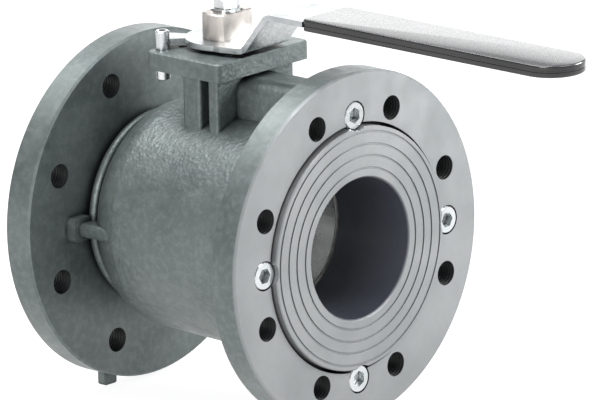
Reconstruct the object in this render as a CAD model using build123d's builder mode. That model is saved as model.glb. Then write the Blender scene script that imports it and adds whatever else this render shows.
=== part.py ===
"""Lever-operated ball valve, DN 80, flanged for PN 16, with a bolted-in end insert.

Frame: X is the bore axis, from the inlet flange's raised face (x = 0) to the outlet's.
+Z is up, along the stem.  The lever is modelled in its open position, along +X.
All dimensions are in millimetres.
"""
import os
from math import asin, cos, degrees, radians, sin, sqrt

from build123d import *

os.makedirs("parts", exist_ok=True)

# ---- driving dimensions -------------------------------------------------------------
FACE_TO_FACE = 180.0        # over both raised faces
BORE_R = 40.0               # full bore, DN 80
FLANGE_R = 100.0
FLANGE_T = 18.0             # plate only, without the raised face
RAISED_R = 69.0
RAISED_H = 3.0
BOLT_CIRCLE_R = 80.0
BOLT_COUNT = 8
BOLT_HOLE_R = 6.9           # core hole of an M16 thread

STEM_X = 82.5               # stem axis, along the bore
BALL_R = 58.0
CAVITY_R = 60.3
SEAT_POCKET_R = 52.0
SEAT_NEAR = 33.0            # seat's inner and outer end, from the ball's centre
SEAT_FAR = 42.0
BACK_RING_D = 3.0           # section of the elastic ring behind each seat

BARREL_R_INLET = 66.3
BARREL_R_OUTLET = 68.8
ROOT_R = 50.0               # waist between the inlet flange and the bead
BEAD_R = 56.0

INSERT_NOSE_R = 60.0
INSERT_LIP_T = 12.0         # insert's lip, sunk in the outlet flange
RECESS_R = 71.0             # recess the lip sits in, leaving a narrow groove
FACE_GROOVES_R = (66.0, 59.0, 52.5, 45.5)
FACE_GROOVE_W = 1.3
FACE_GROOVE_D = 0.6

RETAINER_COUNT = 4
RETAINER_CIRCLE_R = 75.5
RETAINER_HEAD_R = 8.0
RETAINER_HEAD_H = 7.0
RETAINER_R = 5.0
RETAINER_SEAT_R = 8.4       # counterbore, shared by the flange and the insert's rim

STEM_R = 12.0
STEM_GAP = 0.05             # running clearance round the stem
COLLAR_R = 16.0
COLLAR_H = 6.0
TANG_T = 13.9
TANG_L = 28.0
SLOT_W = 14.1
SLOT_FLOOR = 49.3
SQUARE = 14.0               # stem's driving square
SQUARE_FIT = 14.1

NECK_BOTTOM = 50.0
NECK_BOSS_R = 19.0
NECK_RIBS = ((-6.0, 7.5), (13.0, 21.0))     # start and end of each, from the stem axis
NECK_RIB_HALF_W = 31.5
WEB_HALF_W = 16.0           # web from the neck to the outlet flange
WEB_TOP = 88.5
WEB_EDGE_R = 9.0
PAD_L = 55.0                # along the bore
PAD_W = 75.0
PAD_CORNER_R = 3.5
PAD_BOTTOM = 90.5
PAD_TOP = 101.0
PAD_BOLT_CIRCLE_R = 25.0
PAD_HOLE_R = 2.5            # core hole of an M6 thread

STOP_DX = -23.0             # stop screw, from the stem axis
STOP_DY = -28.5
STOP_R = 4.0
STOP_TOP = 111.7
STOP_PLAY = 0.15            # lever's play against the stop screw

LEVER_BOTTOM = 103.2
LEVER_T = 3.2
LEVER_DISC_R = 24.0
LEVER_BASE_HALF_W = 22.0
LEVER_TAPER_START = 14.0    # where the base narrows to the crank's width
LEVER_BASE_END = 27.5       # where the crank starts to rise, from the stem axis
CRANK_END = 46.0
ARM_LEVEL = 127.4           # middle of the arm's thickness
ARM_END = 254.0
CRANK_W = 36.0
ARM_W = 33.0
GRIP_START = 73.0
GRIP_END = 257.3
GRIP_W = 37.0
GRIP_T = 6.8

HUB_R = 14.2
HUB_FLATS = 16.4
HUB_TOP = 121.5
TOP_SCREW_R = 4.0

# ---- values that follow -------------------------------------------------------------
INLET_BACK = RAISED_H + FLANGE_T
OUTLET_FACE = FACE_TO_FACE - RAISED_H
OUTLET_BACK = OUTLET_FACE - FLANGE_T
RECESS_FLOOR = OUTLET_FACE - INSERT_LIP_T
RETAINER_FLOOR = OUTLET_FACE - RETAINER_HEAD_H
POCKET_DEPTH = SEAT_FAR + BACK_RING_D
INSERT_NOSE_END = STEM_X + SEAT_NEAR - 1.0
COLLAR_BOTTOM = CAVITY_R + 0.2
COLLAR_TOP = COLLAR_BOTTOM + COLLAR_H
WASHER_TOP = COLLAR_TOP + 2.0
BUSH_BOTTOM = 86.0
BUSH_TOP = 98.0
BUSH_R = 14.0
DUST_RING_R = 16.5
DUST_RING_TOP = 102.0
LEVER_TOP = LEVER_BOTTOM + LEVER_T
STOP_REACH = sqrt(STOP_DX**2 + STOP_DY**2)
STOP_ANGLE = 180.0 + degrees(asin(-STOP_DY / STOP_REACH))

along_x = Plane(origin=(0, 0, 0), x_dir=(0, 1, 0), z_dir=(1, 0, 0))


def across(x):
    """A plane square to the bore at x: its own x is the row's Y and its own y is Z."""
    return along_x.offset(x)


def over_stem(z):
    """A level plane at height z, centred on the stem axis."""
    return Plane(origin=(STEM_X, 0, z))


def finish_piece(piece, name):
    """Label a finished piece and write it."""
    piece.part.label = name
    export_step(piece.part, f"parts/{name}.step")


# ---- valve body: two flanges, barrel, neck and top pad in one casting ------------------
EDGE = 1.2                  # chamfer on the flange rims
SHOULDER_END = 53.0         # where the rounded shoulder meets the barrel
ROOT_FILLET = 3.0
GUSSET_Z = -1.5
GUSSET_T = 8.0
FOOT_Y = -24.5
FOOT_W = 10.0
FOOT_T = 5.0
SPHERE_START = STEM_X - sqrt(CAVITY_R**2 - SEAT_POCKET_R**2)

with BuildPart() as valve_body:
    with BuildSketch(Plane.XZ):
        with BuildLine():
            Polyline(
                (0, 0),
                (0, RAISED_R - 0.5),
                (0.5, RAISED_R),
                (RAISED_H, RAISED_R),
                (RAISED_H, FLANGE_R - EDGE),
                (RAISED_H + EDGE, FLANGE_R),
                (INLET_BACK - EDGE, FLANGE_R),
                (INLET_BACK, FLANGE_R - EDGE),
                (INLET_BACK, ROOT_R),
                (INLET_BACK + 3.0, ROOT_R),
                (INLET_BACK + 3.0, BEAD_R - 3.0),
            )
            ThreePointArc(
                (INLET_BACK + 3.0, BEAD_R - 3.0),
                (INLET_BACK + 6.0, BEAD_R),
                (INLET_BACK + 9.0, BEAD_R - 2.5),
            )
            ThreePointArc(
                (INLET_BACK + 9.0, BEAD_R - 2.5),
                (INLET_BACK + 17.5, 61.6),
                (SHOULDER_END, BARREL_R_INLET),
            )
            Line((SHOULDER_END, BARREL_R_INLET), (OUTLET_BACK - ROOT_FILLET, BARREL_R_OUTLET))
            RadiusArc(
                (OUTLET_BACK - ROOT_FILLET, BARREL_R_OUTLET),
                (OUTLET_BACK, BARREL_R_OUTLET + ROOT_FILLET),
                ROOT_FILLET,
            )
            Polyline(
                (OUTLET_BACK, BARREL_R_OUTLET + ROOT_FILLET),
                (OUTLET_BACK, FLANGE_R - EDGE),
                (OUTLET_BACK + EDGE, FLANGE_R),
                (OUTLET_FACE - EDGE, FLANGE_R),
                (OUTLET_FACE, FLANGE_R - EDGE),
                (OUTLET_FACE, 0),
                (0, 0),
            )
        make_face()
    revolve(axis=Axis.X)

    # gusset from the inlet flange to the barrel, with its end boss, and the foot
    with BuildSketch(across(INLET_BACK - 1.0)):
        with Locations((-56.0, GUSSET_Z)):
            RectangleRounded(20.0, GUSSET_T, 3.0)
    extrude(amount=30.0)
    with BuildSketch(across(INLET_BACK - 1.0)):
        with Locations((-62.0, GUSSET_Z)):
            RectangleRounded(15.0, 13.5, 3.0)
    extrude(amount=7.5)
    with BuildSketch(across(RAISED_H + 1.0)):
        with Locations((FOOT_Y, -FLANGE_R + 3.0)):
            RectangleRounded(FOOT_W, 13.0, 1.5)
    extrude(amount=FOOT_T)

    # neck: two ribs across the bore, a boss round the stem, and a web to the outlet flange
    with BuildSketch(over_stem(NECK_BOTTOM)):
        Circle(NECK_BOSS_R)
        for start, end in NECK_RIBS:
            with Locations(((start + end) / 2, 0)):
                RectangleRounded(end - start, 2 * NECK_RIB_HALF_W, 2.0)
    extrude(amount=PAD_BOTTOM - NECK_BOTTOM)
    with BuildSketch(across(STEM_X)):
        with Locations((0, (NECK_BOTTOM + WEB_TOP) / 2)):
            RectangleRounded(2 * WEB_HALF_W, WEB_TOP - NECK_BOTTOM, WEB_EDGE_R)
    extrude(amount=OUTLET_BACK - STEM_X + 1.0)

    # top pad
    with BuildSketch(over_stem(PAD_BOTTOM)):
        RectangleRounded(PAD_L, PAD_W, PAD_CORNER_R)
    extrude(amount=PAD_TOP - PAD_BOTTOM)
    pad_edges = valve_body.edges().filter_by(Plane.XY).group_by(Axis.Z)[-1]
    chamfer(pad_edges, 0.8)

    # bore, seat pocket, ball cavity and the insert's recess
    with BuildSketch(Plane.XZ):
        with BuildLine():
            Polyline(
                (-1.0, 0),
                (-1.0, BORE_R + 2.0),
                (1.0, BORE_R),
                (STEM_X - POCKET_DEPTH, BORE_R),
                (STEM_X - POCKET_DEPTH, SEAT_POCKET_R),
                (SPHERE_START, SEAT_POCKET_R),
            )
            ThreePointArc(
                (SPHERE_START, SEAT_POCKET_R),
                (STEM_X + CAVITY_R * cos(radians(105.0)), CAVITY_R * sin(radians(105.0))),
                (STEM_X, CAVITY_R),
            )
            Polyline(
                (STEM_X, CAVITY_R),
                (RECESS_FLOOR, CAVITY_R),
                (RECESS_FLOOR, RECESS_R),
                (OUTLET_FACE + 1.0, RECESS_R),
                (OUTLET_FACE + 1.0, 0),
                (-1.0, 0),
            )
        make_face()
    revolve(axis=Axis.X, mode=Mode.SUBTRACT)

    # concentric grooves in the inlet's raised face
    with BuildSketch(across(0)):
        for radius in FACE_GROOVES_R:
            Circle(radius + FACE_GROOVE_W / 2)
            Circle(radius - FACE_GROOVE_W / 2, mode=Mode.SUBTRACT)
    extrude(amount=FACE_GROOVE_D, mode=Mode.SUBTRACT)

    # bolt holes through each flange, between the retaining screws
    for start in (RAISED_H, OUTLET_BACK):
        with BuildSketch(across(start)):
            with PolarLocations(BOLT_CIRCLE_R, BOLT_COUNT, start_angle=180.0 / BOLT_COUNT):
                Circle(BOLT_HOLE_R)
        extrude(amount=FLANGE_T, mode=Mode.SUBTRACT)

    # counterbores and threads of the retaining screws
    with BuildSketch(across(RETAINER_FLOOR)):
        with PolarLocations(RETAINER_CIRCLE_R, RETAINER_COUNT):
            Circle(RETAINER_SEAT_R)
    extrude(amount=RETAINER_HEAD_H + 1.0, mode=Mode.SUBTRACT)
    with BuildSketch(across(OUTLET_BACK - 1.0)):
        with PolarLocations(RETAINER_CIRCLE_R, RETAINER_COUNT):
            Circle(RETAINER_R)
    extrude(amount=RETAINER_FLOOR - OUTLET_BACK + 1.0, mode=Mode.SUBTRACT)

    # stem bore, from the collar's pocket up to the dust ring's seat
    for bottom, top, radius in (
        (50.0, WASHER_TOP, COLLAR_R + 0.3),
        (WASHER_TOP, BUSH_BOTTOM, STEM_R + STEM_GAP),
        (BUSH_BOTTOM, BUSH_TOP, BUSH_R),
        (BUSH_TOP, PAD_TOP + 1.0, DUST_RING_R),
    ):
        with BuildSketch(over_stem(bottom)):
            Circle(radius)
        extrude(amount=top - bottom, mode=Mode.SUBTRACT)

    # top pad: actuator holes and the stop screw's thread
    with BuildSketch(over_stem(PAD_BOTTOM)):
        with PolarLocations(PAD_BOLT_CIRCLE_R, 4, start_angle=45.0):
            Circle(PAD_HOLE_R)
        with Locations((STOP_DX, STOP_DY)):
            Circle(STOP_R)
    extrude(amount=PAD_TOP - PAD_BOTTOM + 1.0, mode=Mode.SUBTRACT)
finish_piece(valve_body, "valve_body")


# ---- end insert: closes the body, carries the outlet seat and the raised face --------
GROOVE_X = 150.0
GROOVE_HALF = 2.4
O_RING_R = 1.75             # section radius of the body seal

with BuildPart() as end_insert:
    with BuildSketch(Plane.XZ):
        with BuildLine():
            Polyline(
                (INSERT_NOSE_END, SEAT_POCKET_R),
                (INSERT_NOSE_END, INSERT_NOSE_R - 1.0),
                (INSERT_NOSE_END + 1.0, INSERT_NOSE_R),
                (GROOVE_X - GROOVE_HALF, INSERT_NOSE_R),
                (GROOVE_X - GROOVE_HALF, CAVITY_R - 2 * O_RING_R),
                (GROOVE_X + GROOVE_HALF, CAVITY_R - 2 * O_RING_R),
                (GROOVE_X + GROOVE_HALF, INSERT_NOSE_R),
                (RECESS_FLOOR, INSERT_NOSE_R),
                (RECESS_FLOOR, RAISED_R),
                (FACE_TO_FACE - 0.6, RAISED_R),
                (FACE_TO_FACE, RAISED_R - 0.6),
                (FACE_TO_FACE, BORE_R + 1.0),
                (FACE_TO_FACE - 1.0, BORE_R),
                (STEM_X + POCKET_DEPTH, BORE_R),
                (STEM_X + POCKET_DEPTH, SEAT_POCKET_R),
                (INSERT_NOSE_END, SEAT_POCKET_R),
            )
        make_face()
    revolve(axis=Axis.X)
    with BuildSketch(across(FACE_TO_FACE)):
        for radius in FACE_GROOVES_R:
            Circle(radius + FACE_GROOVE_W / 2)
            Circle(radius - FACE_GROOVE_W / 2, mode=Mode.SUBTRACT)
    extrude(amount=-FACE_GROOVE_D, mode=Mode.SUBTRACT)
    with BuildSketch(across(RETAINER_FLOOR)):
        with PolarLocations(RETAINER_CIRCLE_R, RETAINER_COUNT):
            Circle(RETAINER_SEAT_R)
    extrude(amount=FACE_TO_FACE - RETAINER_FLOOR + 1.0, mode=Mode.SUBTRACT)
finish_piece(end_insert, "end_insert")

with BuildPart() as insert_seal:
    with BuildSketch(Plane.XZ):
        with Locations((GROOVE_X, CAVITY_R - O_RING_R)):
            Circle(O_RING_R - 0.02)
    revolve(axis=Axis.X)
finish_piece(insert_seal, "insert_seal")

SOCKET_AF = 8.0
with BuildPart() as insert_screws:
    with BuildSketch(across(RETAINER_FLOOR)):
        with PolarLocations(RETAINER_CIRCLE_R, RETAINER_COUNT):
            Circle(RETAINER_HEAD_R)
    extrude(amount=RETAINER_HEAD_H)
    chamfer(insert_screws.edges().filter_by(GeomType.CIRCLE).group_by(Axis.X)[-1], 0.7)
    with BuildSketch(across(OUTLET_BACK + 1.0)):
        with PolarLocations(RETAINER_CIRCLE_R, RETAINER_COUNT):
            Circle(RETAINER_R - 0.02)
    extrude(amount=RETAINER_FLOOR - OUTLET_BACK - 1.0)
    with BuildSketch(across(OUTLET_FACE)):
        with PolarLocations(RETAINER_CIRCLE_R, RETAINER_COUNT):
            RegularPolygon(SOCKET_AF / 2, 6, major_radius=False)
    extrude(amount=-4.0, mode=Mode.SUBTRACT)
finish_piece(insert_screws, "insert_screws")


# ---- seats and the rings behind them --------------------------------------------------
SEAT_INNER_R = BORE_R + 1.0
SEAT_GAP = 0.3
SEAT_CORNER_R = SEAT_POCKET_R - 0.1
SEAT_MID_R = (SEAT_INNER_R + SEAT_CORNER_R) / 2
SEAT_MID_X = (SEAT_NEAR + SEAT_FAR) / 2
BACK_RING_R = 48.0


def make_seat(direction, name):
    """A ring seat with a spherical face towards the ball, on one side of it."""
    with BuildPart() as seat:
        with BuildSketch(Plane.XZ):
            with Locations((STEM_X + direction * SEAT_MID_X, SEAT_MID_R)):
                Rectangle(SEAT_FAR - SEAT_NEAR, SEAT_CORNER_R - SEAT_INNER_R)
            with Locations((STEM_X, 0)):
                Circle(BALL_R + SEAT_GAP, mode=Mode.SUBTRACT)
        revolve(axis=Axis.X)
    finish_piece(seat, name)


def make_back_ring(direction, name):
    """The elastic ring that presses a seat against the ball."""
    with BuildPart() as ring:
        with BuildSketch(Plane.XZ):
            with Locations((STEM_X + direction * (SEAT_FAR + BACK_RING_D / 2), BACK_RING_R)):
                Circle(BACK_RING_D / 2 - 0.02)
        revolve(axis=Axis.X)
    finish_piece(ring, name)


make_seat(-1, "seat_inlet")
make_seat(1, "seat_outlet")
make_back_ring(-1, "seat_spring_ring_inlet")
make_back_ring(1, "seat_spring_ring_outlet")


# ---- ball, with its port along X and the tang's slot across it -------------------------
with BuildPart() as ball:
    with Locations((STEM_X, 0, 0)):
        Sphere(BALL_R)
    with BuildSketch(across(STEM_X - BALL_R)):
        Circle(BORE_R)
    extrude(amount=2 * BALL_R, mode=Mode.SUBTRACT)
    with BuildSketch(over_stem(SLOT_FLOOR)):
        Rectangle(SLOT_W, 2 * BALL_R)
    extrude(amount=BALL_R - SLOT_FLOOR + 1.0, mode=Mode.SUBTRACT)
finish_piece(ball, "ball")


# ---- stem, its bearings and seals ---------------------------------------------------------
STEM_RING_R = 1.5
STEM_RING_HEIGHTS = (73.0, 80.0)
SQUARE_TOP = HUB_TOP - 0.5

with BuildPart() as stem:
    with BuildSketch(over_stem(COLLAR_BOTTOM)):
        Circle(COLLAR_R)
    extrude(amount=COLLAR_H)
    with BuildSketch(over_stem(COLLAR_TOP)):
        Circle(STEM_R)
    extrude(amount=LEVER_BOTTOM - COLLAR_TOP)
    with BuildSketch(over_stem(LEVER_BOTTOM)):
        RectangleRounded(SQUARE, SQUARE, 1.0)
    extrude(amount=SQUARE_TOP - LEVER_BOTTOM)
    with BuildSketch(over_stem(SLOT_FLOOR + 0.4)):
        Rectangle(TANG_T, TANG_L)
    extrude(amount=COLLAR_BOTTOM - SLOT_FLOOR - 0.4)
    for height in STEM_RING_HEIGHTS:
        with BuildSketch(over_stem(height - 1.8)):
            Circle(STEM_R)
            Circle(STEM_R - 2 * STEM_RING_R, mode=Mode.SUBTRACT)
        extrude(amount=3.6, mode=Mode.SUBTRACT)
    with BuildSketch(over_stem(SQUARE_TOP)):
        Circle(TOP_SCREW_R)
    extrude(amount=-16.0, mode=Mode.SUBTRACT)
finish_piece(stem, "stem")

with BuildPart() as stem_seals:
    for height in STEM_RING_HEIGHTS:
        with BuildSketch(Plane.XZ):
            with Locations((STEM_X + STEM_R - STEM_RING_R + 0.03, height)):
                Circle(STEM_RING_R - 0.02)
        revolve(axis=Axis((STEM_X, 0, 0), (0, 0, 1)))
finish_piece(stem_seals, "stem_seals")


def make_sleeve(bottom, top, outer, inner, name):
    """A plain ring round the stem."""
    with BuildPart() as sleeve:
        with BuildSketch(over_stem(bottom)):
            Circle(outer)
            Circle(inner, mode=Mode.SUBTRACT)
        extrude(amount=top - bottom)
    finish_piece(sleeve, name)


make_sleeve(COLLAR_TOP + 0.1, WASHER_TOP, COLLAR_R, STEM_R + 0.1, "stem_thrust_washer")
make_sleeve(BUSH_BOTTOM, BUSH_TOP, BUSH_R, STEM_R + STEM_GAP, "stem_bush")
make_sleeve(BUSH_TOP, DUST_RING_TOP, DUST_RING_R - 0.1, STEM_R + 0.1, "stem_dust_ring")


# ---- lever: one bent flat bar with a stop lug, and its grip --------------------------------
LEVER_MID = LEVER_BOTTOM + LEVER_T / 2
BEND_R = 6.0
SWEPT_R = STOP_REACH - STOP_R - STOP_PLAY     # plate inside this radius misses the stop
LUG_R = 39.0
LUG_START = 205.0
NOTCH_R = STOP_R + STOP_PLAY
CUT_R = 60.0


def polar(radius, angle):
    """A point at an angle in degrees from +X, seen from above."""
    return (radius * cos(radians(angle)), radius * sin(radians(angle)))


with BuildPart() as lever:
    with BuildSketch(Plane(origin=(STEM_X, 0, 0), z_dir=(0, -1, 0), x_dir=(1, 0, 0))):
        with BuildLine():
            FilletPolyline(
                (-LUG_R, LEVER_MID),
                (LEVER_BASE_END, LEVER_MID),
                (CRANK_END, ARM_LEVEL),
                (ARM_END, ARM_LEVEL),
                radius=BEND_R,
            )
        trace(line_width=LEVER_T)
    extrude(amount=LUG_R, both=True)
    with BuildSketch(over_stem(PAD_TOP)):
        Circle(LEVER_DISC_R)
        with BuildLine():
            Polyline(
                (0, -LEVER_BASE_HALF_W),
                (LEVER_TAPER_START, -LEVER_BASE_HALF_W),
                (LEVER_BASE_END, -CRANK_W / 2),
                (LEVER_BASE_END, CRANK_W / 2),
                (LEVER_TAPER_START, LEVER_BASE_HALF_W),
                (0, LEVER_BASE_HALF_W),
                (0, -LEVER_BASE_HALF_W),
            )
        make_face()
        with BuildLine():
            Polyline(
                (0, 0),
                polar(LUG_R, LUG_START),
                polar(LUG_R + 1.0, (LUG_START + STOP_ANGLE) / 2),
                polar(LUG_R, STOP_ANGLE),
                (0, 0),
            )
        make_face()
        with Locations(((LEVER_BASE_END + GRIP_START) / 2, 0)):
            Rectangle(GRIP_START - LEVER_BASE_END, CRANK_W)
        with Locations((ARM_END / 2 + ARM_W / 4, 0)):
            SlotOverall(ARM_END - ARM_W / 2, ARM_W)
        # room for the stop screw all the way from the lug to the closed position
        with BuildLine():
            Polyline(
                polar(SWEPT_R, STOP_ANGLE),
                polar(CUT_R, STOP_ANGLE),
                polar(CUT_R, STOP_ANGLE + 45.0),
                polar(CUT_R, STOP_ANGLE + 90.0),
                polar(SWEPT_R, STOP_ANGLE + 90.0),
            )
            ThreePointArc(
                polar(SWEPT_R, STOP_ANGLE + 90.0),
                polar(SWEPT_R, STOP_ANGLE + 45.0),
                polar(SWEPT_R, STOP_ANGLE),
            )
        make_face(mode=Mode.SUBTRACT)
        with Locations(polar(STOP_REACH, STOP_ANGLE), polar(STOP_REACH, STOP_ANGLE + 90.0)):
            Circle(NOTCH_R, mode=Mode.SUBTRACT)
        RectangleRounded(SQUARE_FIT, SQUARE_FIT, 1.0, mode=Mode.SUBTRACT)
    extrude(amount=ARM_LEVEL, mode=Mode.INTERSECT)
finish_piece(lever, "lever")

GRIP_MID = STEM_X + (GRIP_START + GRIP_END) / 2
with BuildPart() as grip_sleeve:
    with BuildSketch(Plane(origin=(GRIP_MID, 0, ARM_LEVEL - GRIP_T / 2))):
        SlotOverall(GRIP_END - GRIP_START, GRIP_W)
        with Locations(((GRIP_START - GRIP_END) / 2 + GRIP_W / 4, 0)):
            RectangleRounded(GRIP_W / 2, GRIP_W, 3.0)
    extrude(amount=GRIP_T)
    rim = grip_sleeve.edges().filter_by(Plane.XY)
    fillet(rim, 1.2)
    with BuildSketch(Plane(origin=(STEM_X, 0, ARM_LEVEL - LEVER_T / 2))):
        with Locations((ARM_END / 2 + ARM_W / 4, 0)):
            SlotOverall(ARM_END - ARM_W / 2, ARM_W)
    extrude(amount=LEVER_T, mode=Mode.SUBTRACT)
finish_piece(grip_sleeve, "grip_sleeve")

with BuildPart() as lever_hub:
    with BuildSketch(over_stem(LEVER_TOP)):
        Circle(HUB_R)
        Rectangle(HUB_FLATS, 2 * HUB_R, mode=Mode.INTERSECT)
    extrude(amount=HUB_TOP - LEVER_TOP)
    chamfer(lever_hub.edges().filter_by(Plane.XY).group_by(Axis.Z)[-1], 0.6)
    with BuildSketch(over_stem(LEVER_TOP)):
        RectangleRounded(SQUARE_FIT, SQUARE_FIT, 1.0)
    extrude(amount=HUB_TOP - LEVER_TOP, mode=Mode.SUBTRACT)
finish_piece(lever_hub, "lever_hub")

WASHER_T = 1.6
SCREW_HEAD_AF = 13.0
SCREW_HEAD_H = 5.3
HEAD_BASE = HUB_TOP + WASHER_T
make_sleeve(HUB_TOP, HEAD_BASE, 8.0, TOP_SCREW_R + 0.2, "lever_washer")

with BuildPart() as lever_screw:
    with BuildSketch(over_stem(HEAD_BASE)):
        RegularPolygon(SCREW_HEAD_AF / 2, 6, major_radius=False)
    extrude(amount=SCREW_HEAD_H)
    # the head's corners are turned off at 30 degrees
    with BuildSketch(over_stem(HEAD_BASE)):
        Circle(SCREW_HEAD_AF / 2 + SCREW_HEAD_H * 1.732)
    extrude(amount=SCREW_HEAD_H, taper=60.0, mode=Mode.INTERSECT)
    with BuildSketch(over_stem(HEAD_BASE)):
        Circle(TOP_SCREW_R - 0.02)
    extrude(amount=-14.0)
finish_piece(lever_screw, "lever_screw")


# ---- stop screw, through the pad's corner, with a hexagon socket in its top ---------------------
STOP_BOTTOM = 83.5
STOP_AT = (STEM_X + STOP_DX, STOP_DY)

with BuildPart() as stop_screw:
    with BuildSketch(Plane(origin=(*STOP_AT, STOP_BOTTOM))):
        Circle(STOP_R - 0.02)
    extrude(amount=STOP_TOP - STOP_BOTTOM)
    ends = stop_screw.edges().filter_by(GeomType.CIRCLE)
    chamfer(ends, 0.7)
    with BuildSketch(Plane(origin=(*STOP_AT, STOP_TOP))):
        RegularPolygon(2.0, 6, major_radius=False)
    extrude(amount=-4.0, mode=Mode.SUBTRACT)
finish_piece(stop_screw, "stop_screw")
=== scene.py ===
"""Looks of the flanged ball valve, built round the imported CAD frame. Metres throughout."""
import math

import bpy
from mathutils import Matrix, Vector


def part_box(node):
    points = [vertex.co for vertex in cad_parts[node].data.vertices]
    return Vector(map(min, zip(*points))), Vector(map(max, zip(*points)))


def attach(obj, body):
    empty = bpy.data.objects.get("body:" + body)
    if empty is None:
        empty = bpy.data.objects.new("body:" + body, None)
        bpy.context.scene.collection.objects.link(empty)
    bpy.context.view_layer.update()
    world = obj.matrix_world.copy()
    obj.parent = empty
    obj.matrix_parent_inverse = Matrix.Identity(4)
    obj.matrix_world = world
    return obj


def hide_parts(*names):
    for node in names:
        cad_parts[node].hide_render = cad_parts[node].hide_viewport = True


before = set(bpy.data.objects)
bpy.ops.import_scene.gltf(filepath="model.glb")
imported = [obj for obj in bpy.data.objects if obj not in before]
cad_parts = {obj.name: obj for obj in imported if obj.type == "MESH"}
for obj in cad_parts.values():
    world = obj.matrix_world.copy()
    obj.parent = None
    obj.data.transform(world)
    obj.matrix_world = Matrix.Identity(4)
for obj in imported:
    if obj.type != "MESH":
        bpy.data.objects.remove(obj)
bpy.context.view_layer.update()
scene = bpy.context.scene
MM = 0.001
AO_SAMPLES = 8
MIX_FIRST, MIX_SECOND, MIX_RESULT = 6, 7, 2  # a mix node's colour sockets, by place


# ---- node helpers -------------------------------------------------------------------------
class Shader:
    """A material's node tree, with short calls for the nodes used here."""

    def __init__(self, name):
        self.material = bpy.data.materials.new(name)
        self.material.use_nodes = True
        self.tree = self.material.node_tree
        self.tree.nodes.clear()
        self.output = self.tree.nodes.new("ShaderNodeOutputMaterial")
        self.bsdf = self.tree.nodes.new("ShaderNodeBsdfPrincipled")
        self.tree.links.new(self.bsdf.outputs["BSDF"], self.output.inputs["Surface"])
        coords = self.tree.nodes.new("ShaderNodeTexCoord")
        self.position = coords.outputs["Object"]

    def node(self, kind, **settings):
        made = self.tree.nodes.new(kind)
        for key, value in settings.items():
            setattr(made, key, value)
        return made

    def feed(self, socket, value):
        if isinstance(value, bpy.types.NodeSocket):
            self.tree.links.new(value, socket)
        else:
            socket.default_value = value

    def noise(self, scale, detail=4.0, roughness=0.55, vector=None):
        made = self.node("ShaderNodeTexNoise")
        self.feed(made.inputs["Vector"], vector or self.position)
        made.inputs["Scale"].default_value = scale
        made.inputs["Detail"].default_value = detail
        made.inputs["Roughness"].default_value = roughness
        return made.outputs["Fac"]

    def cells(self, scale):
        made = self.node("ShaderNodeTexVoronoi", feature="SMOOTH_F1")
        self.feed(made.inputs["Vector"], self.position)
        made.inputs["Scale"].default_value = scale
        return made.outputs["Distance"]

    def stretch(self, factors):
        made = self.node("ShaderNodeMapping")
        self.feed(made.inputs["Vector"], self.position)
        made.inputs["Scale"].default_value = factors
        return made.outputs["Vector"]

    def math(self, operation, first, second=0.0):
        made = self.node("ShaderNodeMath", operation=operation)
        self.feed(made.inputs[0], first)
        self.feed(made.inputs[1], second)
        return made.outputs[0]

    def span(self, value, low, high, out_low=0.0, out_high=1.0):
        """A smooth step from out_low to out_high, as the value goes from low to high."""
        made = self.node("ShaderNodeMapRange", interpolation_type="SMOOTHSTEP")
        self.feed(made.inputs["Value"], value)
        made.inputs["From Min"].default_value = low
        made.inputs["From Max"].default_value = high
        made.inputs["To Min"].default_value = out_low
        made.inputs["To Max"].default_value = out_high
        return made.outputs["Result"]

    def blend(self, factor, first, second):
        made = self.node("ShaderNodeMix", data_type="RGBA")
        self.feed(made.inputs["Factor"], factor)
        self.feed(made.inputs[MIX_FIRST], first)
        self.feed(made.inputs[MIX_SECOND], second)
        return made.outputs[MIX_RESULT]

    def axis_parts(self):
        made = self.node("ShaderNodeSeparateXYZ")
        self.feed(made.inputs[0], self.position)
        return made.outputs

    def radius_from(self, first, second):
        """Distance from an axis, from the two coordinates square to it."""
        first_square = self.math("MULTIPLY", first, first)
        second_square = self.math("MULTIPLY", second, second)
        return self.math("SQRT", self.math("ADD", first_square, second_square))

    # Ambient occlusion, which the materials use to paint shade into corners, grooves and gaps.
    def crevice(self, distance):
        made = self.node("ShaderNodeAmbientOcclusion")
        made.samples = AO_SAMPLES
        made.inputs["Distance"].default_value = distance
        return made.outputs["AO"]

    def bump(self, height, strength, distance, normal=None):
        made = self.node("ShaderNodeBump")
        self.feed(made.inputs["Height"], height)
        self.feed(made.inputs["Strength"], strength)
        made.inputs["Distance"].default_value = distance
        if normal is not None:
            self.feed(made.inputs["Normal"], normal)
        return made.outputs["Normal"]

    def set(self, **values):
        names = {
            "color": "Base Color",
            "metal": "Metallic",
            "rough": "Roughness",
            "coat": "Coat Weight",
            "coat_rough": "Coat Roughness",
            "specular": "Specular IOR Level",
            "normal": "Normal",
            "coat_normal": "Coat Normal",
            "glow": "Emission Color",
            "glow_strength": "Emission Strength",
        }
        for key, value in values.items():
            self.feed(self.bsdf.inputs[names[key]], value)


def rgb(red, green, blue):
    """A linear colour from sRGB values between 0 and 255."""

    def linear(level):
        level = level / 255.0
        return level / 12.92 if level <= 0.04045 else ((level + 0.055) / 1.055) ** 2.4

    return (linear(red), linear(green), linear(blue), 1.0)


# ---- materials ----------------------------------------------------------------------------
CASTING_LOW = rgb(87, 95, 94)
CASTING_HIGH = rgb(99, 107, 105)
CASTING_SPECK = rgb(128, 135, 135)
# Painted shade, laid where parts stand close: between the flanges and under the pad.
CASTING_SHADE = rgb(76, 86, 85)
# Painted shade for tight creases and corners.
CASTING_CREVICE_SHADE = rgb(30, 34, 35)
FACE_LOW = rgb(128, 131, 132)
FACE_HIGH = rgb(140, 142, 143)
# The bores' dark coat, made darker still as painted shade for the unlit inside.
BODY_BORE_COAT_AND_SHADE = rgb(56, 60, 68)
INSERT_BORE_COAT_AND_SHADE = rgb(54, 57, 65)
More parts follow.
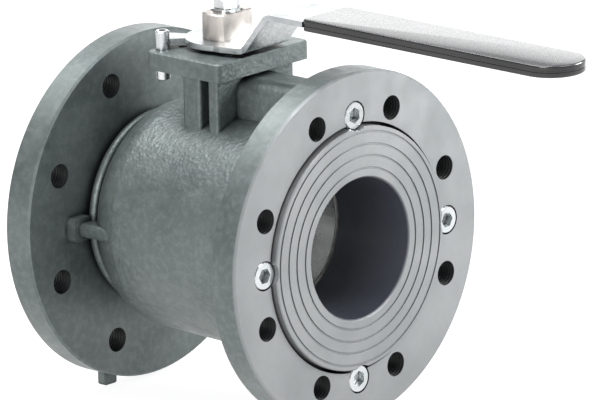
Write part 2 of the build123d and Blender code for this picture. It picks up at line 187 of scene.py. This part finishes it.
# Painted shade for the insert's grooves.
INSERT_GROOVE_SHADE = rgb(100, 103, 106)
# Painted shade filling the flange bolt holes.
HOLE_SHADE = rgb(12, 13, 14)
BALL_LOW = rgb(172, 173, 172)
BALL_HIGH = rgb(198, 199, 198)
VINYL_LOW = rgb(14, 14, 16)
VINYL_HIGH = rgb(26, 26, 28)

# Where one finish, painted shade included, gives way to the next: metres along the bore, or out from
# an axis.
CAST_SKIN_START = (0.0205, 0.0225)
CAST_SKIN_END = (0.1570, 0.1590)
OUTLET_FACE = (0.1750, 0.1766)
INLET_FLANGE_BACK = (0.0215, 0.0210)
OUTLET_FLANGE_BACK = (0.1585, 0.1590)
BODY_BORE_WALL = (0.0402, 0.0408)
INSERT_BORE_WALL = (0.0402, 0.0410)
BOLT_HOLE_WALL = (0.0072, 0.0068)

# A bolt hole's centre on the 160 mm circle, 22.5 degrees from the nearer axis.
BOLT_HOLE_FAR = 0.07391
BOLT_HOLE_NEAR = 0.03061

# Fine marks, in radians per metre.
TURNING_RINGS = 5200.0
LAPPING_RINGS = 9000.0
THREAD_TURNS = 3141.6  # a pitch of 2 mm

# The part of a noise's range that is used; SPECKS also has the range that it becomes.
NOISE_MIDDLE = (0.3, 0.7)
PATCHES = (0.35, 0.68)
SPECKS = (0.40, 0.70, 0.0, 0.30)

PAINT_ROUGH = (0.38, 0.52)
PAINT_METAL = 0.60


def bolt_hole_mask(s, x, y, z):
    """One inside each flange's eight bolt holes, zero elsewhere; folds them all onto one hole."""
    side = s.math("ABSOLUTE", y)
    height = s.math("ABSOLUTE", z)
    far = s.math("SUBTRACT", s.math("MAXIMUM", side, height), BOLT_HOLE_FAR)
    near = s.math("SUBTRACT", s.math("MINIMUM", side, height), BOLT_HOLE_NEAR)
    in_flanges = s.math("MAXIMUM", s.span(x, *INLET_FLANGE_BACK), s.span(x, *OUTLET_FLANGE_BACK))
    return s.math("MULTIPLY", s.span(s.radius_from(far, near), *BOLT_HOLE_WALL), in_flanges)


def turned_rings(s, radius):
    """Fine turning marks on a machined face."""
    return s.math("SINE", s.math("MULTIPLY", radius, TURNING_RINGS))


def casting_paint():
    """Grey-green metallic enamel over a sand casting, smoother on the turned flanges."""
    s = Shader("casting_paint")
    x, y, z = s.axis_parts()
    radius = s.radius_from(y, z)
    cast = s.math(
        "MULTIPLY",
        s.span(x, *CAST_SKIN_START),
        s.math("SUBTRACT", 1.0, s.span(x, *CAST_SKIN_END)),
    )
    patches = s.span(s.noise(22.0, 3.0, 0.5), *PATCHES)
    fine = s.noise(260.0, 5.0, 0.6)
    green = s.blend(patches, CASTING_LOW, CASTING_HIGH)
    grey = s.blend(patches, FACE_LOW, FACE_HIGH)
    tone = s.blend(s.span(x, *OUTLET_FACE), green, grey)
    speckled = s.blend(s.span(fine, *SPECKS), tone, CASTING_SPECK)
    # Painted shade: the enamel darkens to CASTING_SHADE where ambient occlusion finds parts within 45
    # mm.
    shaded_between_parts = s.blend(s.span(s.crevice(0.045), 0.12, 0.52), CASTING_SHADE, speckled)
    # Painted shade in tight creases and corners, where ambient occlusion within 5 mm is low.
    crevice_shaded = s.blend(s.span(s.crevice(0.005), 0.25, 0.85), CASTING_CREVICE_SHADE, shaded_between_parts)
    bore = s.span(radius, *BODY_BORE_WALL)
    holes = bolt_hole_mask(s, x, y, z)
    # Inside the bore: its dark coat, darkened further as painted shade.
    with_bore_coat_and_shade = s.blend(bore, BODY_BORE_COAT_AND_SHADE, crevice_shaded)
    # The bolt holes are filled with near-black painted shade.
    s.set(color=s.blend(holes, with_bore_coat_and_shade, HOLE_SHADE), metal=s.span(holes, 0.0, 1.0, PAINT_METAL, 0.0))
    s.set(rough=s.span(s.noise(90.0, 4.0, 0.6), *NOISE_MIDDLE, *PAINT_ROUGH))
    grain = s.math("ADD", s.cells(520.0), s.math("MULTIPLY", s.noise(140.0, 5.0, 0.65), 1.6))
    sand = s.bump(grain, s.math("MULTIPLY", cast, 0.60), 0.35 * MM)
    waves = s.bump(s.noise(38.0, 2.0, 0.4), s.math("MULTIPLY", cast, 0.60), 1.2 * MM, sand)
    thread = s.bump(s.math("SINE", s.math("MULTIPLY", x, THREAD_TURNS)), holes, 0.8 * MM, waves)
    peel = s.bump(s.noise(520.0, 2.0, 0.5), 0.12, 0.12 * MM, thread)
    s.set(normal=peel, coat=0.12, coat_rough=0.28, specular=s.span(holes, 0.0, 1.0, 0.5, 0.15))
    return s.material


def insert_paint():
    """The same enamel, greyer, on a turned disc: faint turning rings, painted shade in the grooves,
    and a dark bore coat made darker as painted shade.
    """
    s = Shader("insert_paint")
    x, y, z = s.axis_parts()
    radius = s.radius_from(y, z)
    patches = s.span(s.noise(26.0, 3.0, 0.5), *PATCHES)
    tone = s.blend(patches, FACE_LOW, FACE_HIGH)
    speckled = s.blend(s.span(s.noise(260.0, 5.0, 0.6), *SPECKS), tone, CASTING_SPECK)
    # Painted shade in the turned grooves, where ambient occlusion within 1.6 mm is low.
    shaded = s.blend(s.span(s.crevice(0.0016), 0.25, 0.80), INSERT_GROOVE_SHADE, speckled)
    # Inside the bore: its dark coat, darkened further as painted shade.
    bore = s.span(radius, *INSERT_BORE_WALL)
    s.set(color=s.blend(bore, INSERT_BORE_COAT_AND_SHADE, shaded), metal=s.span(bore, 1.0, 0.0, PAINT_METAL, 0.0))
    s.set(rough=s.span(s.noise(110.0, 4.0, 0.6), *NOISE_MIDDLE, *PAINT_ROUGH))
    turned = s.bump(turned_rings(s, radius), 0.06, 0.10 * MM)
    peel = s.bump(s.noise(520.0, 2.0, 0.5), 0.12, 0.12 * MM, turned)
    s.set(normal=peel, coat=0.12, coat_rough=0.28)
    return s.material


def bare_metal(name, painted_corner_shade, low, high, rough, direction=(1.0, 1.0, 1.0), streak=600.0, depth=0.05):
    """Plated or machined metal: fine streaks, drawn out where direction is small, and clouding."""
    s = Shader(name)
    streaks = s.noise(streak, 3.0, 0.6, s.stretch(direction))
    clouds = s.noise(60.0, 3.0, 0.6)
    tint = s.blend(s.span(clouds, *NOISE_MIDDLE), low, high)
    # Painted shade: the tint darkens to the corner colour where ambient occlusion within 2 mm is low.
    openness = s.span(s.crevice(0.002), 0.2, 0.8)
    s.set(color=s.blend(openness, painted_corner_shade, tint), metal=1.0)
    s.set(rough=s.span(streaks, *NOISE_MIDDLE, rough - 0.07, rough + 0.09))
    s.set(normal=s.bump(streaks, depth, 0.08 * MM))
    return s.material


def ball_metal():
    """Ground and polished steel, with the faint lapping rings round its port axis."""
    s = Shader("ball_metal")
    along = s.axis_parts()["X"]
    rings = s.math("SINE", s.math("MULTIPLY", along, LAPPING_RINGS))
    clouds = s.noise(45.0, 4.0, 0.6)
    s.set(color=s.blend(s.span(clouds, *NOISE_MIDDLE), BALL_LOW, BALL_HIGH), metal=1.0)
    s.set(rough=s.span(clouds, *NOISE_MIDDLE, 0.20, 0.34), normal=s.bump(rings, 0.05, 0.05 * MM))
    return s.material


def soft_plastic(name, dark, light, rough, grain=420.0, depth=0.1):
    """Seals and seats: a moulded, slightly uneven matt surface."""
    s = Shader(name)
    mottle = s.noise(grain, 4.0, 0.6)
    s.set(color=s.blend(s.span(mottle, *NOISE_MIDDLE), dark, light))
    s.set(rough=s.span(mottle, *NOISE_MIDDLE, rough - 0.06, rough + 0.08))
    s.set(normal=s.bump(mottle, depth, 0.08 * MM))
    return s.material


def grip_vinyl():
    """Glossy black vinyl, with a slow waviness and a faint skin."""
    s = Shader("grip_vinyl")
    waves = s.noise(55.0, 2.0, 0.4, s.stretch((0.4, 1.0, 1.0)))
    skin = s.noise(900.0, 2.0, 0.5)
    s.set(color=s.blend(s.span(waves, *NOISE_MIDDLE), VINYL_LOW, VINYL_HIGH))
    s.set(rough=s.span(skin, *NOISE_MIDDLE, 0.20, 0.30), coat=0.35, coat_rough=0.12)
    swell = s.bump(waves, 0.25, 0.25 * MM)
    s.set(normal=s.bump(skin, 0.05, 0.05 * MM, swell), coat_normal=swell)
    return s.material


# ---- grip: the moulded sleeve, with its rounded rims and the parting groove along its side ------
GRIP_FILLET = 0.9 * MM
GRIP_GROOVE = 0.45 * MM
GROOVE_FLOOR_HALF = 0.45 * MM
GROOVE_MOUTH_HALF = 0.70 * MM
GRIP_CORNER = 3.0 * MM
RIM_STEPS = 4
ARC_STEPS = 24
GRIP_SHARP_ANGLE = math.radians(40.0)


def grip_levels(thickness):
    """(height, inset) pairs from the sleeve's underside to its top."""
    middle = thickness / 2
    angles = [math.radians(90.0 * step / RIM_STEPS) for step in range(RIM_STEPS + 1)]
    levels = []
    for angle in angles:
        levels.append((GRIP_FILLET * (1 - math.cos(angle)), GRIP_FILLET * (1 - math.sin(angle))))
    levels.append((middle - GROOVE_MOUTH_HALF, 0.0))
    levels.append((middle - GROOVE_FLOOR_HALF, GRIP_GROOVE))
    levels.append((middle + GROOVE_FLOOR_HALF, GRIP_GROOVE))
    levels.append((middle + GROOVE_MOUTH_HALF, 0.0))
    for angle in angles:
        height = thickness - GRIP_FILLET * (1 - math.sin(angle))
        levels.append((height, GRIP_FILLET * (1 - math.cos(angle))))
    return levels


def grip_outline(low, high, inset):
    """The sleeve's outline seen from above: small corners at the crank, a half round far end."""
    half = (high.y - low.y) / 2
    middle = (high.y + low.y) / 2
    points = []
    centres = (
        (high.x - half, middle, half - inset, -90.0, 90.0),
        (low.x + GRIP_CORNER, high.y - GRIP_CORNER, GRIP_CORNER - inset, 90.0, 180.0),
        (low.x + GRIP_CORNER, low.y + GRIP_CORNER, GRIP_CORNER - inset, 180.0, 270.0),
    )
    for centre_x, centre_y, radius, start, end in centres:
        for step in range(ARC_STEPS + 1):
            angle = math.radians(start + (end - start) * step / ARC_STEPS)
            points.append((centre_x + radius * math.cos(angle), centre_y + radius * math.sin(angle)))
    return points


def make_grip(material):
    """Skins the outlines into one closed mesh in place of the CAD sleeve."""
    low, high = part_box("grip_sleeve")
    vertices = []
    faces = []
    levels = grip_levels(high.z - low.z)
    for height, inset in levels:
        vertices.extend((x, y, low.z + height) for x, y in grip_outline(low, high, inset))
    count = len(vertices) // len(levels)
    for level in range(len(levels) - 1):
        below = level * count
        above = below + count
        for index in range(count):
            after = (index + 1) % count
            faces.append((below + index, below + after, above + after, above + index))
    faces.append(tuple(reversed(range(count))))
    faces.append(tuple(range(len(vertices) - count, len(vertices))))
    mesh = bpy.data.meshes.new("grip")
    mesh.from_pydata(vertices, [], faces)
    mesh.materials.append(material)
    for polygon in mesh.polygons:
        polygon.use_smooth = len(polygon.vertices) == 4  # the sides; the two ends stay flat
    mesh.set_sharp_from_angle(angle=GRIP_SHARP_ANGLE)
    grip = bpy.data.objects.new("grip", mesh)
    scene.collection.objects.link(grip)
    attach(grip, "lever_and_stem")
    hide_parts("grip_sleeve")


# ---- camera --------------------------------------------------------------------------------
CAMERA_TURN = math.radians(42.609)
CAMERA_RISE = math.radians(15.033)
CAMERA_ROLL = math.radians(-1.107)
CAMERA_DISTANCE = 5.0941
CAMERA_LENS = 542.17
CAMERA_SENSOR = 36.0
CAMERA_CLIP = (0.5, 60.0)
CAMERA_AIM = Vector((0.0900, 0.0489, 0.0025))


def place_camera():
    """A long lens, turned round +Z from -Y, raised, and rolled a little about its own axis."""
    back = Vector(
        (
            math.sin(CAMERA_TURN) * math.cos(CAMERA_RISE),
            -math.cos(CAMERA_TURN) * math.cos(CAMERA_RISE),
            math.sin(CAMERA_RISE),
        )
    )
    right = Vector((math.cos(CAMERA_TURN), math.sin(CAMERA_TURN), 0.0))
    up = back.cross(right)
    rolled_right = right * math.cos(CAMERA_ROLL) + up * math.sin(CAMERA_ROLL)
    rolled_up = up * math.cos(CAMERA_ROLL) - right * math.sin(CAMERA_ROLL)
    data = bpy.data.cameras.new("camera")
    data.lens = CAMERA_LENS
    data.sensor_width = CAMERA_SENSOR
    data.clip_start, data.clip_end = CAMERA_CLIP
    camera = bpy.data.objects.new("camera", data)
    scene.collection.objects.link(camera)
    turn = Matrix((rolled_right, rolled_up, back)).transposed().to_4x4()
    camera.matrix_world = Matrix.Translation(CAMERA_AIM + back * CAMERA_DISTANCE) @ turn
    scene.camera = camera


# ---- floor, world and lights ------------------------------------------------------------------
FLOOR_GAP = 0.2 * MM
FLOOR_HALF_SIDE = 14.0
FLOOR_LOW = (0.18, 0.18, 0.18, 1.0)
FLOOR_HIGH = (0.21, 0.21, 0.21, 1.0)
FLOOR_GLOW = 0.90
WORLD_COLOR = (0.95, 0.97, 1.0, 1.0)
WORLD_STRENGTH = 0.42


def make_floor(level):
    """A wide plane that glows nearly white."""
    size = FLOOR_HALF_SIDE
    mesh = bpy.data.meshes.new("floor")
    corners = [(-size, -size, level), (size, -size, level), (size, size, level), (-size, size, level)]
    mesh.from_pydata(corners, [], [(0, 1, 2, 3)])
    floor = bpy.data.objects.new("floor", mesh)
    scene.collection.objects.link(floor)
    s = Shader("floor")
    s.set(color=s.blend(s.noise(3.0), FLOOR_LOW, FLOOR_HIGH), rough=0.9, specular=0.0)
    s.set(glow=(1.0, 1.0, 1.0, 1.0), glow_strength=FLOOR_GLOW)
    floor.data.materials.append(s.material)


def make_world():
    world = bpy.data.worlds.new("studio")
    world.use_nodes = True
    background = world.node_tree.nodes["Background"]
    background.inputs["Color"].default_value = WORLD_COLOR
    background.inputs["Strength"].default_value = WORLD_STRENGTH
    scene.world = world


def softbox(name, place, aim, size, power):
    """A white rectangular area light; place, aim and size in metres, power in watts."""
    data = bpy.data.lights.new(name, "AREA")
    data.shape = "RECTANGLE"
    data.size, data.size_y = size
    data.energy = power
    light = bpy.data.objects.new(name, data)
    scene.collection.objects.link(light)
    light.location = place
    light.rotation_euler = (Vector(aim) - Vector(place)).to_track_quat("-Z", "Y").to_euler()


def make_lights():
    middle = (0.10, 0.0, 0.0)
    softbox("overhead", (-0.5, -0.2, 2.1), (0.0, 0.0, 0.0), (1.9, 1.6), 84.0)
    softbox("front_right", (0.62, 0.12, 0.62), (0.18, 0.0, 0.08), (0.36, 0.36), 3.0)
    softbox("side_right", (0.52, 0.34, 0.26), (0.18, 0.0, 0.09), (0.22, 0.22), 4.2)
    softbox("front", (0.9, -2.5, 0.9), middle, (1.2, 1.2), 46.0)
    softbox("behind", (-2.2, 2.4, 0.85), (0.2, 0.0, 0.1), (3.6, 1.4), 30.0)


# ---- put it together -------------------------------------------------------------------------
# Each metal has a colour of painted shade for its corners, and a low and a high tone.
ZINC = (rgb(84, 88, 90), rgb(170, 174, 175), rgb(192, 195, 196))
SCREW_ZINC = (rgb(84, 88, 90), rgb(190, 194, 195), rgb(212, 215, 216))
HUB_STEEL = (rgb(96, 92, 88), rgb(172, 166, 161), rgb(194, 189, 185))
STEM_STEEL = (rgb(80, 80, 80), rgb(168, 168, 168), rgb(192, 192, 192))
NODE_MATERIALS = {
    "valve_body": casting_paint(),
    "end_insert": insert_paint(),
    "ball": ball_metal(),
    "lever": bare_metal("lever_zinc", *ZINC, 0.32, (0.12, 1.0, 1.0), 700.0, 0.02),
    "lever_hub": bare_metal("hub_steel", *HUB_STEEL, 0.38, (1.0, 1.0, 0.15), 900.0, 0.03),
    "stem": bare_metal("stem_steel", *STEM_STEEL, 0.30, (1.0, 1.0, 0.1), 900.0),
}
zinc_screws = bare_metal("zinc_screws", *SCREW_ZINC, 0.26, depth=0.015)
black_rubber = soft_plastic("black_rubber", rgb(18, 18, 19), rgb(34, 34, 35), 0.6)
white_seat = soft_plastic("ptfe", rgb(214, 213, 208), rgb(236, 235, 230), 0.4, 300.0, 0.04)
for node in ("insert_screws", "lever_washer", "lever_screw", "stop_screw"):
    NODE_MATERIALS[node] = zinc_screws
for node in ("insert_seal", "stem_seals", "stem_dust_ring"):
    NODE_MATERIALS[node] = black_rubber
for node in ("seat_spring_ring_inlet", "seat_spring_ring_outlet"):
    NODE_MATERIALS[node] = black_rubber
for node in ("seat_inlet", "seat_outlet", "stem_bush", "stem_thrust_washer"):
    NODE_MATERIALS[node] = white_seat
vinyl = grip_vinyl()
NODE_MATERIALS["grip_sleeve"] = vinyl

for node, material in NODE_MATERIALS.items():
    for material_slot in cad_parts[node].material_slots:
        material_slot.material = material

make_grip(vinyl)

scene.view_settings.view_transform = "Standard"
place_camera()
make_floor(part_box("valve_body")[0].z - FLOOR_GAP)
make_world()
make_lights()
